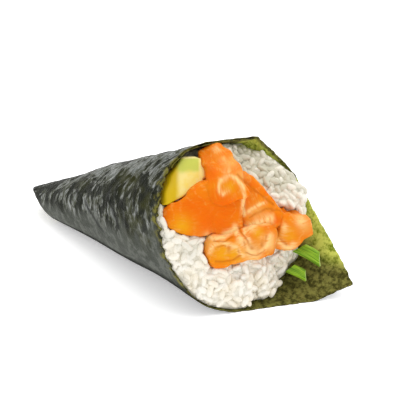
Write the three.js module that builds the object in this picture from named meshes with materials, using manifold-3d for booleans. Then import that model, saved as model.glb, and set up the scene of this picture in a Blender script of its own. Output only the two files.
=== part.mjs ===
// A salmon temaki: a sheet of nori rolled into a cone round sushi rice, lying on its side, with strips of
// salmon, a piece of avocado and two cuts of spring onion in its mouth.
//
// Millimetres. The cone lies along +X, tip at the -X end and mouth at the +X end, and +Z is up. The origin is
// the middle of the flat strip that it rests on.
//
// Places on the cone are given as a turn and a reach. The turn goes round the cone's axis in degrees: 0 is
// the resting strip, 90 is the +Y side, 180 is the top and -90 is the -Y side. The reach is the distance
// from the cone's apex along the rolled sheet.
import * as THREE from "three";
import { mergeVertices } from "three/addons/utils/BufferGeometryUtils.js";
import Module from "manifold-3d";

const wasm = await Module();
wasm.setup();

// ---- Driving dimensions ----

// The cone: a half sheet of nori is 105 mm wide, and one full turn of this cone takes 90 degrees of it.
const SHEET_WIDTH = 105;
const CORNER_SLACK = 4.7; // how far the roll's apex lies outside the sheet's own corner
const HALF_ANGLE = 14.43; // degrees between the cone's axis and its wall
const FLATTENING = 0.05; // share of the radius that the resting strip is pressed in
const REST_REACH = 85; // from the apex to the middle of the resting strip

// The sheet: it starts inside at the top, runs down the +Y side, under, up the -Y side and over the top.
const SHEET_THICKNESS = 0.6;
const LAYER_GAP = 0.3;
const INNER_END = 210;
const OUTER_END = -250;
const CORNER_TURN = 36; // the sheet's square corner juts out of the mouth here, low on the +Y side
const CREASE_TURN = 128; // a sharp fold along the top of the +Y side
const CREASE_RISE = 0.15; // share of the radius
const CREASE_SPREAD = 11; // degrees
const FLAT_BEHIND_CREASE = { size: -0.06, at: 162, spread: 20 }; // share of the radius, round a turn
const FULL_BEFORE_CREASE = { size: 0.08, at: 103, spread: 17 };
const LOOSE_FLAP = { size: -0.06, at: 70, spread: 26 }; // drawn inwards
const FLAP_START = 118; // reach at which the flap begins to come loose
const FLAP_FULL = 146;
const TIP_REACH = 24.5; // the open tip
const TIP_SLANT = 7.5; // its edge lies this much further out on one side
const TIP_SLANT_TURN = -20; // the side where it does
const WAVE_HEIGHT = 0.5;
const WAVE_SHORT = 9; // mm of reach per radian
const WAVE_LONG = 31;
const SHEET_STEP = 10; // degrees from column to column
const SHEET_ROWS = 9;

// The rice.
const RICE_START = 34.5; // reach at which the rice begins, just inside the tip
const RICE_REACH = 127; // where its edge lies on the open part of the sheet
const RICE_BELOW_RIM = 2; // how far below the rim its edge stays elsewhere
const RICE_RECESS = { size: 11, at: 128, spread: 14 }; // its edge lies deeper behind the crease
const RICE_BEHIND_AVOCADO = { size: 8, at: 200, spread: 24 }; // and deeper there too
const RICE_CENTRE = 112; // along the axis
const RICE_BULGE = 6;
const RICE_FAR_SIDE = { size: 1, at: 96, spread: 26 }; // how much more it bulges there
const CORE_SIDES = 30;
const CORE_ROWS = 6;
const HEAP_RINGS = [0.93, 0.8, 0.62, 0.42, 0.2]; // shares of the way from the heap's middle to its edge
const STEP_BLEND = 50; // degrees over which the rice fills the step at the sheet's inner end
const GRAIN_LENGTH = 5.6;
const GRAIN_WIDTH = 2.6;
const GRAIN_SPACING = 3.5; // between the middles of neighbouring grains
const GRAIN_TRIES = 1800; // places tried for a grain, enough to fill the heap
const GRAIN_LEAN = 0.5; // radians, from one extreme to the other
const NUDGES = 4; // how often a grain that crosses another piece is moved before it is skipped
const NUDGE_IN = 0.6; // towards the heap's middle
const NUDGE_OUT = 0.5; // out of the mouth
const CLEARANCE = 0.3; // between pieces that touch
const RICE_TO_SHEET = 0.45; // a little more, because the faces of the two don't line up

// The mouth's frame, in which the toppings are placed: x across, y up and z out of the mouth, seen square on.
const MOUTH_TURN = 41; // degrees about Z
const MOUTH_TILT = 62.4; // degrees that its z axis leans from straight up
const MOUTH_CENTRE = new THREE.Vector3(112.4, 1.1, 28.6); // from the apex
const SLICE_STATIONS = 10;
const SLICE_SIDES = 14;
const ONION_STATIONS = 5;
const ONION_SIDES = 12;

// ---- Helpers ----

const { degToRad, clamp, smoothstep, lerp } = THREE.MathUtils;
const sinOf = (degrees) => Math.sin(degToRad(degrees));
const cosOf = (degrees) => Math.cos(degToRad(degrees));
const turnsApart = (a, b) => Math.abs(((a - b + 540) % 360 + 360) % 360 - 180);

// A smooth swelling, or a hollow if its size is negative, round the turn it is at.
const swelling = (turn, { size, at, spread }) => size * Math.exp(-((turnsApart(turn, at) / spread) ** 2));

// A steady stream of numbers between 0 and 1 (mulberry32).
function randomStream(seed) {
  let state = seed;
  return () => {
    state = (state + 0x6d2b79f5) | 0;
    let mixed = Math.imul(state ^ (state >>> 15), state | 1);
    mixed ^= mixed + Math.imul(mixed ^ (mixed >>> 7), mixed | 61);
    return ((mixed ^ (mixed >>> 14)) >>> 0) / 4294967296;
  };
}

// A closed body lofted through rings of equally many points, with its ends closed by a fan. The rings run
// anticlockwise seen from the far end looking back.
function loft(rings) {
  const count = rings[0].length;
  const positions = rings.flat().flatMap((point) => point.toArray());
  const index = [];
  for (let ring = 0; ring + 1 < rings.length; ring++) {
    for (let i = 0; i < count; i++) {
      const a = ring * count + i;
      const b = ring * count + ((i + 1) % count);
      index.push(a, b, b + count, a, b + count, a + count);
    }
  }
  const cap = (ring, flip) => {
    const middle = new THREE.Vector3();
    for (const point of rings[ring]) middle.addScaledVector(point, 1 / count);
    const hub = positions.length / 3;
    positions.push(...middle.toArray());
    for (let i = 0; i < count; i++) {
      const a = ring * count + i;
      const b = ring * count + ((i + 1) % count);
      if (flip) index.push(b, a, hub);
      else index.push(a, b, hub);
    }
  };
  cap(0, true);
  cap(rings.length - 1, false);
  return geometryOf(positions, index);
}

function geometryOf(positions, index) {
  const geometry = new THREE.BufferGeometry();
  geometry.setAttribute("position", new THREE.Float32BufferAttribute(positions, 3));
  geometry.setIndex(index);
  return geometry;
}

function solidOf(geometry) {
  const bare = geometry.clone();
  bare.deleteAttribute("normal");
  bare.deleteAttribute("uv");
  const merged = mergeVertices(bare, 1e-4);
  return new wasm.Manifold(
    new wasm.Mesh({
      numProp: 3,
      vertProperties: merged.attributes.position.array,
      triVerts: new Uint32Array(merged.index.array),
    }),
  );
}

function geometryFrom(solid) {
  const mesh = solid.getMesh();
  const positions = [];
  for (let i = 0; i < mesh.numVert; i++) {
    positions.push(...mesh.vertProperties.subarray(i * mesh.numProp, i * mesh.numProp + 3));
  }
  return geometryOf(positions, [...mesh.triVerts]);
}

// ---- The cone ----

const SLOPE = Math.tan(degToRad(HALF_ANGLE));
const AXIS_LIFT = Math.atan(SLOPE * (1 - FLATTENING));
const AXIS = new THREE.Vector3(Math.cos(AXIS_LIFT), 0, Math.sin(AXIS_LIFT));
const AXIS_UP = new THREE.Vector3(-Math.sin(AXIS_LIFT), 0, Math.cos(AXIS_LIFT));
const FLAT_TURN = THREE.MathUtils.radToDeg(Math.acos(1 - FLATTENING)); // half the resting strip
const PITCH = ((SHEET_THICKNESS + LAYER_GAP) * 360) / (360 - 2 * FLAT_TURN); // from layer to layer

// The section's radius at a turn, as a share of the round cone's.
function sectionShare(turn, reach) {
  const crease = CREASE_RISE * Math.exp(-turnsApart(turn, CREASE_TURN) / CREASE_SPREAD);
  const besideCrease = swelling(turn, FLAT_BEHIND_CREASE) + swelling(turn, FULL_BEFORE_CREASE);
  const flap = smoothstep(reach, FLAP_START, FLAP_FULL) * swelling(turn, LOOSE_FLAP);
  return 1 + crease + besideCrease + flap;
}

// How far the wavy sheet stands out from the cone. It is still on the resting strip and at the tip.
function wave(turn, reach) {
  const offStrip = smoothstep(turnsApart(turn, 0), FLAT_TURN + 4, FLAT_TURN + 30);
  const offTip = smoothstep(reach, TIP_REACH, 60);
  const short = Math.sin(reach / WAVE_SHORT + 2 * sinOf(turn + 20));
  const long = Math.sin(degToRad(3 * turn) + reach / WAVE_LONG);
  return WAVE_HEIGHT * offStrip * offTip * (0.6 * short + 0.4 * long);
}

// A point on the cone's outer surface, from the apex.
function outerPoint(turn, reach) {
  const radius = SLOPE * sectionShare(turn, reach);
  const across = radius * sinOf(turn);
  const above = Math.max(-radius * cosOf(turn), -SLOPE * (1 - FLATTENING));
  return AXIS.clone()
    .addScaledVector(AXIS_UP, above)
    .add(new THREE.Vector3(0, across, 0))
    .setLength(reach);
}

// The surface's outward direction.
function outward(turn, reach) {
  const along = outerPoint(turn, reach + 1).sub(outerPoint(turn, reach - 1));
  const round = outerPoint(turn + 3, reach).sub(outerPoint(turn - 3, reach));
  return round.cross(along).normalize();
}

// A point that lies a depth below the outer surface.
function conePoint(turn, reach, depth) {
  return outerPoint(turn, reach).addScaledVector(outward(turn, reach), wave(turn, reach) - depth);
}

// How far the sheet reaches at a turn: its two straight edges meet in the square corner.
function rimReach(turn) {
  const sheetAngle = Math.abs(turn - CORNER_TURN) * sinOf(HALF_ANGLE);
  return SHEET_WIDTH / cosOf(45 - sheetAngle) + CORNER_SLACK;
}

const tipReach = (turn) => TIP_REACH + TIP_SLANT * cosOf(turn - TIP_SLANT_TURN);

// How deep the sheet lies as it winds inwards. The resting strip stays level.
function layerDepth(turn) {
  const pastStrip = Math.max(Math.abs(turn) - FLAT_TURN, 0) * Math.sign(turn);
  return (PITCH * pastStrip) / 360;
}

// ---- Nori ----

// Turns of the sheet's columns: an even step, with its corner, creases and the strip's edges taken in.
function sheetTurns(step) {
  const named = [-FLAT_TURN, FLAT_TURN, CORNER_TURN, CREASE_TURN, CREASE_TURN - 360];
  const turns = [...named];
  for (let turn = OUTER_END; turn <= INNER_END; turn += step) {
    if (named.every((other) => Math.abs(other - turn) > step / 2)) turns.push(turn);
  }
  return turns.sort((a, b) => a - b);
}

function noriGeometry() {
  const turns = sheetTurns(SHEET_STEP);
  const rows = SHEET_ROWS;
  const positions = [];
  for (const face of [0, SHEET_THICKNESS]) {
    for (const turn of turns) {
      for (let row = 0; row < rows; row++) {
        const reach = lerp(tipReach(turn), rimReach(turn), row / (rows - 1));
        positions.push(...conePoint(turn, reach, layerDepth(turn) + face).toArray());
      }
    }
  }
  const inner = turns.length * rows;
  const at = (column, row) => column * rows + row;
  const index = [];
  for (let column = 0; column + 1 < turns.length; column++) {
    for (let row = 0; row + 1 < rows; row++) {
      const a = at(column, row);
      const b = at(column + 1, row);
      const c = at(column + 1, row + 1);
      const d = at(column, row + 1);
      index.push(a, b, c, a, c, d);
      index.push(a + inner, c + inner, b + inner, a + inner, d + inner, c + inner);
    }
  }
  const edge = (a, b) => index.push(b, a, b + inner, b + inner, a, a + inner);
  for (let column = 0; column + 1 < turns.length; column++) {
    edge(at(column, 0), at(column + 1, 0));
    edge(at(column + 1, rows - 1), at(column, rows - 1));
  }
  for (let row = 0; row + 1 < rows; row++) {
    edge(at(0, row + 1), at(0, row));
    edge(at(turns.length - 1, row), at(turns.length - 1, row + 1));
  }
  return geometryOf(positions, index);
}

// ---- Toppings ----

const mouth = new THREE.Group();
mouth.rotation.set(degToRad(MOUTH_TILT), 0, degToRad(MOUTH_TURN), "ZYX");
mouth.position.copy(MOUTH_CENTRE);
mouth.updateMatrix();

// A value that runs evenly through those in a list, share 0 at the first and 1 at the last.
function along(values, share) {
  const place = share * (values.length - 1);
  const first = Math.min(Math.floor(place), values.length - 2);
  return lerp(values[first], values[first + 1], place - first);
}

// A bent slice: a rounded section carried along a curve through the given places, in the mouth's frame.
// widths are spread evenly along it, and faceUp is the way they run. squareness is how boxy its section is,
// and roundness the share of its length over which each end tapers. grow thickens it all round, for the
// pocket that it lies in.
function slice({ spine, widths, thickness, faceUp, squareness = 3, roundness = 0.18 }, grow = 0) {
  const curve = new THREE.CatmullRomCurve3(spine.map((place) => new THREE.Vector3(...place)));
  const stations = SLICE_STATIONS;
  const sides = SLICE_SIDES;
  const power = 2 / squareness;
  const rings = [];
  for (let station = 0; station <= stations; station++) {
    const share = (1 - Math.cos((Math.PI * station) / stations)) / 2;
    const tangent = curve.getTangentAt(share);
    const side = new THREE.Vector3(...faceUp);
    side.addScaledVector(tangent, -side.dot(tangent)).normalize();
    const normal = tangent.clone().cross(side);
    const fromEnd = Math.min(share, 1 - share) / roundness;
    const taper = Math.sqrt(1 - (1 - clamp(fromEnd, 0.04, 1)) ** 2);
    const centre = curve.getPointAt(share);
    centre.addScaledVector(tangent, (share - 0.5) * 2 * grow);
    const halfWidth = along(widths, share) / 2;
    const ring = [];
    for (let i = 0; i < sides; i++) {
      const angle = (2 * Math.PI * i) / sides;
      const x = Math.sign(Math.cos(angle)) * Math.abs(Math.cos(angle)) ** power;
      const y = Math.sign(Math.sin(angle)) * Math.abs(Math.sin(angle)) ** power;
      ring.push(
        centre
          .clone()
          .addScaledVector(side, x * (halfWidth * taper + grow))
          .addScaledVector(normal, y * ((thickness / 2) * taper + grow)),
      );
    }
    rings.push(ring);
  }
  return loft(rings);
}

// Listed from the uppermost down: each is cut back where it would enter one listed before it.
const SALMON = {
  salmon_block: {
    spine: [[15.2, -4.5, -2.5], [20.5, -5.2, -3.5], [27.5, -3.3, -5.5]],
    widths: [10, 13.5, 9, 7],
    thickness: 10,
    faceUp: [0.1, 1, 0.3],
    squareness: 4,
    roundness: 0.12,
  },
  salmon_broad: {
    spine: [[-23.8, 0.6, 10.5], [-15, 0.2, 10.5], [-6.5, 2.8, 8.5], [4.5, 1.5, 6]],
    widths: [5.5, 14, 20.5, 18],
    thickness: 5,
    faceUp: [0.1, 1, 0],
    squareness: 3.5,
    roundness: 0.12,
  },
  salmon_top: {
    spine: [[-5.4, 23.2, -3.5], [-3.2, 17, 3.5], [-1.4, 10.5, 8.2], [0.6, 4.6, 8.2]],
    widths: [10.5, 10, 12, 13],
    thickness: 5,
    faceUp: [1, 0, 0],
    squareness: 3.5,
    roundness: 0.12,
  },
  salmon_middle: {
    spine: [[-1, 12.5, -1.5], [5, 6.5, 1], [9.5, 0, 2], [13, -7, 1]],
    widths: [11, 15],
    thickness: 6,
    faceUp: [1, 0.7, -0.3],
  },
  salmon_low: {
    spine: [[-9.5, -12.5, 10.5], [-1, -11.5, 7.5], [8, -9, 4], [16, -8, 0]],
    widths: [10, 11],
    thickness: 5.5,
    faceUp: [0, 1, 0.2],
  },
};

// The avocado: a wedge with a flat cut face, its corners given from the top round, in the mouth's frame.
const AVOCADO_FACE = [
  [-16.6, 20.7], [-12.2, 20.5], [-8, 19.2], [-8.2, 13.8], [-10.5, 10.6], [-16, 6.6], [-22.4, 3.4],
  [-22.8, 7.6], [-21, 12.8], [-18.8, 17],
];
const AVOCADO_FRONT = 8.6;
const AVOCADO_DEPTH = 11;
const AVOCADO_LEAN = new THREE.Vector2(0.25, 0.42); // how its face falls back, per mm across and up
const AVOCADO_MIDDLE = new THREE.Vector2(-15.3, 12.6);
const AVOCADO_SLANT = 2.4; // how much wider it is behind the face, on its -x side

// Rings of the same outline going back from the face: a small bevel, then a wide slant on the -x side.
function avocadoGeometry(grow = 0) {
  const middle = AVOCADO_MIDDLE;
  const ring = (depth, inset, slant, growth) =>
    AVOCADO_FACE.map(([x, y]) => {
      const away = new THREE.Vector2(x, y).sub(middle);
      const length = away.length();
      away.setLength(length - inset + grow);
      const left = smoothstep(-away.x, 0, 6);
      return new THREE.Vector3(
        middle.x + away.x - slant * left,
        middle.y + away.y,
        AVOCADO_FRONT - depth - AVOCADO_LEAN.x * away.x - AVOCADO_LEAN.y * away.y + growth,
      );
    });
  const back = AVOCADO_DEPTH;
  const wide = AVOCADO_SLANT;
  const rings = [
    ring(back, 2, wide, -grow),
    ring(back - 2, 0, wide + 0.5, -grow),
    ring(4, 0, wide - 0.5, 0),
    ring(0.7, 0, 0.5, grow),
    ring(0, 0.8, 0, grow),
  ];
  return loft(rings.map((points) => points.reverse()));
}

// Spring onion: a slanted cut of a hollow leaf, pressed flat.
function onionGeometry({ spine, width, thickness, faceUp, slant }, grow = 0) {
  const curve = new THREE.CatmullRomCurve3(spine.map((place) => new THREE.Vector3(...place)));
  const stations = ONION_STATIONS;
  const sides = ONION_SIDES;
  const rings = [];
  for (let station = 0; station <= stations; station++) {
    const share = station / stations;
    const tangent = curve.getTangentAt(share);
    const side = new THREE.Vector3(...faceUp);
    side.addScaledVector(tangent, -side.dot(tangent)).normalize();
    const normal = tangent.clone().cross(side);
    const centre = curve.getPointAt(share);
    const ring = [];
    for (let i = 0; i < sides; i++) {
      const angle = (2 * Math.PI * i) / sides;
      const x = Math.cos(angle);
      const y = Math.sin(angle);
      ring.push(
        centre
          .clone()
          .addScaledVector(tangent, slant * x * (share - 0.5) * 2 + (share - 0.5) * 2 * grow)
          .addScaledVector(side, x * (width / 2 + grow))
          .addScaledVector(normal, y * (thickness / 2 + grow)),
      );
    }
    rings.push(ring);
  }
  return loft(rings);
}

const ONIONS = {
  spring_onion_long: {
    spine: [[25, -12.2, -9], [28.5, -14, -8.1], [32, -16.2, -7]],
    width: 4.6,
    thickness: 2.4,
    faceUp: [0.4, 1, 0],
    slant: -1.5,
  },
  spring_onion_short: {
    spine: [[21.6, -19.4, -9], [24.3, -20.6, -8.3], [27, -22, -7.4]],
    width: 3.8,
    thickness: 2.2,
    faceUp: [0.3, 1, 0],
    slant: -1,
  },
};

// ---- Rice ----

// The deepest layer of the sheet at a turn, with the step at the sheet's inner end smoothed away.
function wallDepth(turn) {
  const wrapped = ((turn - INNER_END) % 360 + 360) % 360; // 0 and 360 are the inner end
  const innermost = layerDepth(INNER_END - 360 + wrapped) + SHEET_THICKNESS;
  const endDepth = layerDepth(INNER_END) + SHEET_THICKNESS;
  return RICE_TO_SHEET + lerp(endDepth, innermost, smoothstep(wrapped, 0, STEP_BLEND));
}

// Where the rice meets the sheet.
function riceEdgeReach(turn) {
  const sheetTurn = turn > INNER_END - 360 ? turn : turn + 360;
  const full = Math.min(rimReach(sheetTurn) - RICE_BELOW_RIM, RICE_REACH);
  return full - swelling(turn, RICE_RECESS) - swelling(turn, RICE_BEHIND_AVOCADO);
}

// The heap's surface: share 0 is its middle and 1 its edge on the sheet.
function heapPoint(turn, share) {
  const edge = conePoint(turn, riceEdgeReach(turn), wallDepth(turn));
  const centre = AXIS.clone().multiplyScalar(RICE_CENTRE);
  const bulge = RICE_BULGE * (1 + share * swelling(turn, RICE_FAR_SIDE)) * (1 - share ** 5);
  return centre.lerp(edge, share).addScaledVector(AXIS, bulge);
}

// The heap without its grains: up along the sheet, then over the bulge to its middle.
function riceCore() {
  const turns = Array.from({ length: CORE_SIDES }, (_, i) => ((i + 0.001) * 360) / CORE_SIDES - 180);
  const ringAt = (place) => turns.map(place);
  const rings = [];
  for (let row = 0; row < CORE_ROWS; row++) {
    rings.push(
      ringAt((turn) => {
        const reach = lerp(RICE_START, riceEdgeReach(turn), row / (CORE_ROWS - 1));
        return conePoint(turn, reach, wallDepth(turn));
      }),
    );
  }
  for (const share of HEAP_RINGS) rings.push(ringAt((turn) => heapPoint(turn, share)));
  return solidOf(loft(rings));
}

// A grain of few sides, turned at random about the heap's surface.
function grainSolid(place, normal, spin, lean, length, width, grow = 0) {
  const shape = new THREE.SphereGeometry(1, 5, 4);
  const basis = new THREE.Quaternion().setFromUnitVectors(new THREE.Vector3(0, 0, 1), normal);
  basis.multiply(new THREE.Quaternion().setFromAxisAngle(new THREE.Vector3(0, 0, 1), spin));
  basis.multiply(new THREE.Quaternion().setFromAxisAngle(new THREE.Vector3(1, 0, 0), lean));
  const size = new THREE.Vector3(width / 2 + grow, length / 2 + grow, width / 2 + grow);
  shape.applyMatrix4(new THREE.Matrix4().compose(place, basis, size));
  return solidOf(shape);
}

// The heap's outward direction.
function heapNormal(turn, share) {
  const towardsEdge = heapPoint(turn, share + 0.02).sub(heapPoint(turn, share - 0.02));
  const round = heapPoint(turn + 3, share).sub(heapPoint(turn - 3, share));
  const normal = round.cross(towardsEdge).normalize();
  return normal.dot(AXIS) < 0 ? normal.negate() : normal;
}

// Fuses grains on the core, evenly spread, and moves or skips those that would cross another piece. A scrap
// that the toppings' pockets cut off is dropped.
function riceGeometry(neighbours, toppings) {
  const random = randomStream(7);
  const grains = [];
  const middles = [];
  const goldenTurn = 180 * (3 - Math.sqrt(5));
  for (let i = 0; i < GRAIN_TRIES; i++) {
    const share = Math.sqrt((i + 0.5) / GRAIN_TRIES);
    const turn = ((i * goldenTurn) % 360) - 180;
    const place = heapPoint(turn, share);
    if (middles.some((other) => other.distanceTo(place) < GRAIN_SPACING)) continue;
    const normal = heapNormal(turn, share);
    const spin = 2 * Math.PI * random();
    const lean = GRAIN_LEAN * (random() - 0.5);
    const length = GRAIN_LENGTH * (0.85 + 0.3 * random());
    const width = GRAIN_WIDTH * (0.9 + 0.2 * random());
    place.addScaledVector(normal, 0.2 + 0.5 * random());
    const inwards = AXIS.clone().multiplyScalar(RICE_CENTRE).sub(place).setLength(NUDGE_IN);
    for (let attempt = 0; attempt < NUDGES; attempt++) {
      const swollen = grainSolid(place, normal, spin, lean, length, width, CLEARANCE / 2);
      if (swollen.intersect(neighbours).volume() === 0) {
        grains.push(grainSolid(place, normal, spin, lean, length, width));
        middles.push(place.clone());
        break;
      }
      place.add(inwards).addScaledVector(AXIS, NUDGE_OUT);
    }
  }
  const bodies = wasm.Manifold.union([riceCore().subtract(toppings), ...grains]).decompose();
  return geometryFrom(bodies.reduce((a, b) => (a.volume() > b.volume() ? a : b)));
}

// ---- The roll ----

function finish(color, roughness) {
  return new THREE.MeshStandardMaterial({ color, roughness, metalness: 0 });
}

const roll = new THREE.Group();
roll.position.x = -REST_REACH; // everything above is measured from the apex
roll.add(mouth);

function addMesh(parent, name, geometry, material) {
  geometry.computeVertexNormals();
  const mesh = new THREE.Mesh(geometry, material);
  mesh.name = name;
  parent.add(mesh);
}

// Each topping is cut back from the ones above it, and leaves a pocket for what lies under it.
const pockets = [];
function addTopping(name, material, shape) {
  const whole = solidOf(shape(0));
  const fitted = pockets.reduce((solid, pocket) => solid.subtract(solidOf(pocket)), whole);
  addMesh(mouth, name, geometryFrom(fitted), material);
  pockets.push(shape(CLEARANCE));
}

for (const [name, size] of Object.entries(SALMON)) {
  addTopping(name, finish(0xf58a3c, 0.4), (grow) => slice(size, grow));
}
addTopping("avocado", finish(0xe3d765, 0.5), avocadoGeometry);
for (const [name, size] of Object.entries(ONIONS)) {
  addTopping(name, finish(0x5fae2e, 0.4), (grow) => onionGeometry(size, grow));
}

const nori = noriGeometry();
addMesh(roll, "nori", nori, finish(0x2b3327, 0.55));

const grown = wasm.Manifold.union(pockets.map((pocket) => solidOf(pocket.applyMatrix4(mouth.matrix))));
const rice = riceGeometry(grown.add(solidOf(nori)), grown);
addMesh(roll, "rice", rice, finish(0xf3efe6, 0.6));

const temaki = new THREE.Group();
temaki.add(roll);

export default temaki;
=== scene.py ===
# The look of a salmon temaki, a cone of nori round rice with salmon, avocado and spring onion in its mouth.
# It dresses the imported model, in the same frame.
#
# Lengths are in millimetres from the cone's apex, as in the part's source, and make_piece() turns them into
# the frame's metres. A place on the cone is a turn, in degrees round its axis (0 is underneath, 90 the +Y
# side, 180 the top), and a reach, the distance from the apex. The toppings are placed in the mouth's own
# frame: x across, y up and z out of the mouth.
import math
import random

import bpy
import numpy as np
from mathutils import Matrix, Vector, noise
from mathutils.bvhtree import BVHTree


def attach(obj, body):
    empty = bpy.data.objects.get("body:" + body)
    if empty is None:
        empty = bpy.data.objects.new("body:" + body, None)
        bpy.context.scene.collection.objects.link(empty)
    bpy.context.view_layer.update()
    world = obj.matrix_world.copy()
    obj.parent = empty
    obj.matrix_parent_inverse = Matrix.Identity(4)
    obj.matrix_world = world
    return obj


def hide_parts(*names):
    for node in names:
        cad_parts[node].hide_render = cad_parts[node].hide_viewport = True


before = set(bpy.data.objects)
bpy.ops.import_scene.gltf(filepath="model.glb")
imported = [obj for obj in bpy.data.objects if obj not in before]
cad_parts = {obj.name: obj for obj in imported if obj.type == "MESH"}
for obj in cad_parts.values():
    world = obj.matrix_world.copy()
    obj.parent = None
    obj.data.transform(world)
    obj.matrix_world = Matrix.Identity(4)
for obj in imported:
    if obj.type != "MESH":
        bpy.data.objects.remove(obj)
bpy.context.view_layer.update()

MM = 0.001  # metres

# ---- Driving dimensions, as in the part ----

# The sheet and the cone.
SHEET_WIDTH = 105  # half a sheet of nori
CORNER_SLACK = 4.7  # how far the roll's apex lies outside the sheet's own corner
HALF_ANGLE = 14.43  # degrees between the cone's axis and its wall
FLATTENING = 0.05  # share of the radius that the resting strip is pressed in
REST_REACH = 85  # from the apex to the middle of the resting strip
INNER_END = 210
OUTER_END = -250
CORNER_TURN = 36  # where the sheet's square corner juts out of the mouth
CREASE_TURN = 128  # a sharp fold along the top of the +Y side
CREASE_RISE = 0.15  # share of the radius
CREASE_SPREAD = 11
FLAT_BEHIND_CREASE = (-0.06, 162, 20)  # a swelling: share of the radius, the turn it is at, its spread
FULL_BEFORE_CREASE = (0.08, 103, 17)
LOOSE_FLAP = (-0.06, 70, 26)
FLAP_START = 118  # reach at which the flap begins to come loose
FLAP_FULL = 146
TIP_REACH = 24.5
TIP_SLANT = 7.5  # the tip's edge lies this much further out on one side
TIP_SLANT_TURN = -20
WAVE_HEIGHT = 0.5
WAVE_SHORT = 9  # mm of reach per radian
WAVE_LONG = 31

# The rice.
RICE_START = 34.5
RICE_REACH = 127  # where its edge lies on the open part of the sheet
RICE_BELOW_RIM = 2  # how far below the rim its edge stays elsewhere
RICE_BEHIND_AVOCADO = (8, 200, 24)  # its edge lies deeper there
RICE_CENTRE = 112  # along the axis
RICE_BULGE = 6
RICE_FAR_SIDE = (1, 96, 26)  # how much more it bulges there

# The mouth's frame.
MOUTH_TURN = 41  # degrees about Z
MOUTH_TILT = 62.4  # degrees that its z axis leans from straight up
MOUTH_CENTRE = np.array([112.4, 1.1, 28.6])

# ---- Dimensions of the look alone ----

NORI_THICKNESS = 0.3  # a real sheet's, half of what the solid has
NORI_GAP = 0.15  # between two layers of it
NORI_STEP = 1.2  # degrees from column to column
NORI_ROWS = 111
FULL_LOW_SIDE = (0.06, -42, 20)  # a swelling of the near side, low by the mouth
FULL_LOW_START = 88  # reach at which it begins
FULL_LOW_END = 120
RICE_RECESS = (7, 131, 12)  # behind the crease, less deep than the solid's
RICE_ABOVE_AVOCADO = (12, 179, 13)  # a recess, so that the gap there is dark
RICE_TO_NORI = 0.25
CORE_LIFT = 0.5  # how far the rice core fills up between its grains

# ---- The cone ----


def unit(vectors):
    return vectors / np.linalg.norm(vectors, axis=-1, keepdims=True)


def smoothstep(x, low, high):
    share = np.clip((x - low) / (high - low), 0, 1)
    return share * share * (3 - 2 * share)


def turns_apart(a, b):
    return np.abs((a - b + 540) % 360 - 180)


def swelling(turn, size, at, spread):
    """A smooth swelling, or a hollow if its size is negative, round the turn it is at."""
    return size * np.exp(-((turns_apart(turn, at) / spread) ** 2))


SLOPE = math.tan(math.radians(HALF_ANGLE))
AXIS_LIFT = math.atan(SLOPE * (1 - FLATTENING))
AXIS = np.array([math.cos(AXIS_LIFT), 0, math.sin(AXIS_LIFT)])
AXIS_UP = np.array([-math.sin(AXIS_LIFT), 0, math.cos(AXIS_LIFT)])
ACROSS = np.array([0, 1, 0])
FLAT_TURN = math.degrees(math.acos(1 - FLATTENING))
PITCH = (NORI_THICKNESS + NORI_GAP) * 360 / (360 - 2 * FLAT_TURN)


def section_share(turn, reach):
    """The section's radius at a turn, as a share of the round cone's."""
    crease = CREASE_RISE * np.exp(-turns_apart(turn, CREASE_TURN) / CREASE_SPREAD)
    beside_crease = swelling(turn, *FLAT_BEHIND_CREASE) + swelling(turn, *FULL_BEFORE_CREASE)
    flap = smoothstep(reach, FLAP_START, FLAP_FULL) * swelling(turn, *LOOSE_FLAP)
    low_side = smoothstep(reach, FULL_LOW_START, FULL_LOW_END) * swelling(turn, *FULL_LOW_SIDE)
    return 1 + crease + beside_crease + flap + low_side


def wave(turn, reach):
    """How far the wavy sheet stands out from the cone."""
    off_strip = smoothstep(turns_apart(turn, 0), FLAT_TURN + 4, FLAT_TURN + 30)
    off_tip = smoothstep(reach, TIP_REACH, 60)
    short = np.sin(reach / WAVE_SHORT + 2 * np.sin(np.radians(turn + 20)))
    long = np.sin(np.radians(3 * turn) + reach / WAVE_LONG)
    return WAVE_HEIGHT * off_strip * off_tip * (0.6 * short + 0.4 * long)


def outer_point(turn, reach):
    """Points on the cone's outer surface."""
    turn, reach = np.broadcast_arrays(turn, reach)
    radius = SLOPE * section_share(turn, reach)
    across = radius * np.sin(np.radians(turn))
    above = np.maximum(-radius * np.cos(np.radians(turn)), -SLOPE * (1 - FLATTENING))
    along = AXIS + above[..., None] * AXIS_UP + across[..., None] * ACROSS
    return unit(along) * reach[..., None]


def outward(turn, reach):
    """Unit vectors that stand square on the outer surface."""
    along = outer_point(turn, reach + 1) - outer_point(turn, reach - 1)
    round_cone = outer_point(turn + 3, reach) - outer_point(turn - 3, reach)
    return unit(np.cross(round_cone, along))


def cone_point(turn, reach, depth):
    """Points that lie a depth below the outer surface."""
    out = wave(turn, reach) - depth
    return outer_point(turn, reach) + outward(turn, reach) * out[..., None]


def rim_reach(turn):
    """How far out the rim lies, along the sheet's two straight edges that meet in its corner."""
    sheet_angle = np.radians(45 - np.abs(turn - CORNER_TURN) * math.sin(math.radians(HALF_ANGLE)))
    return SHEET_WIDTH / np.cos(sheet_angle) + CORNER_SLACK


def tip_reach(turn):
    return TIP_REACH + TIP_SLANT * np.cos(np.radians(turn - TIP_SLANT_TURN))


def layer_depth(turn):
    """How deep the sheet's outer face lies. It winds inwards, except on the resting strip."""
    past_strip = np.maximum(np.abs(turn) - FLAT_TURN, 0) * np.sign(turn)
    return PITCH * past_strip / 360


# ---- Meshes ----


def noise_at(points, size, seed=0):
    """Smooth noise from about -1 to 1 at each point, with bumps of about that size."""
    shift = Vector((seed * 17.3, seed * 5.1, seed * 9.7))
    flat = np.asarray(points, float).reshape(-1, 3) / size
    values = np.array([noise.noise(Vector(p) + shift) for p in flat])
    return values.reshape(np.shape(points)[:-1])


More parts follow.
